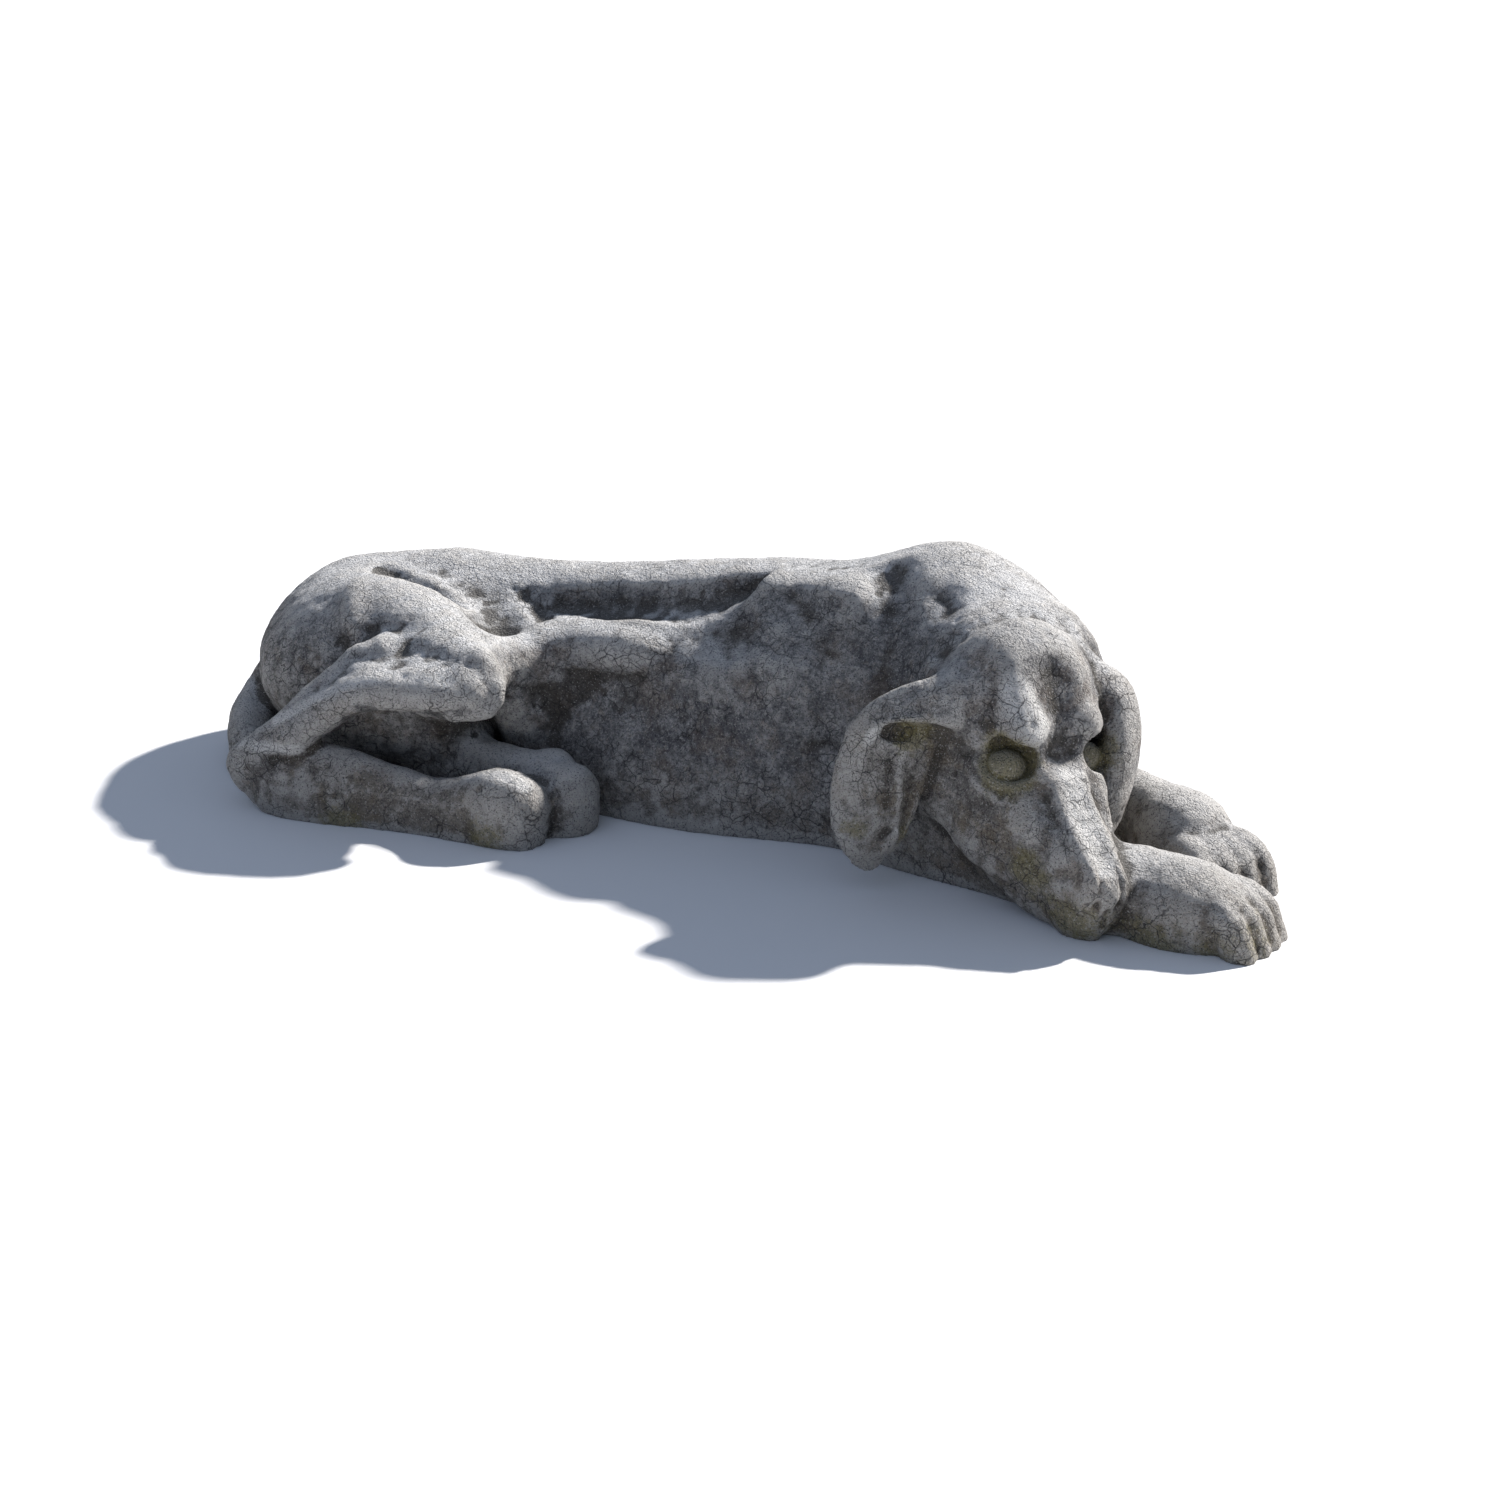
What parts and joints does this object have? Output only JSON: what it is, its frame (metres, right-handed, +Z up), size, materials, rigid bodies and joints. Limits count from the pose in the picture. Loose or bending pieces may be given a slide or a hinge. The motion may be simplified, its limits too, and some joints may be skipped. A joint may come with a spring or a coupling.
{
  "type": "dog statue",
  "caption": "Life-size garden statue of a lying hound with its chin over its forepaws, one solid casting with a flat underside.",
  "frame": {"origin": "on the flat underside, at the middle of the outline seen from above", "axes": "+X along the body from rump to forepaws, -Y toward the side the head turns to, +Z up"},
  "size_m": [0.9502, 0.3328, 0.2293],
  "materials": {
    "cast_stone": "weathered grey cast stone with fine surface cracks, brown and olive staining"
  },
  "bodies": {
    "root": {"dog": "cast_stone"}
  },
  "joints": []
}
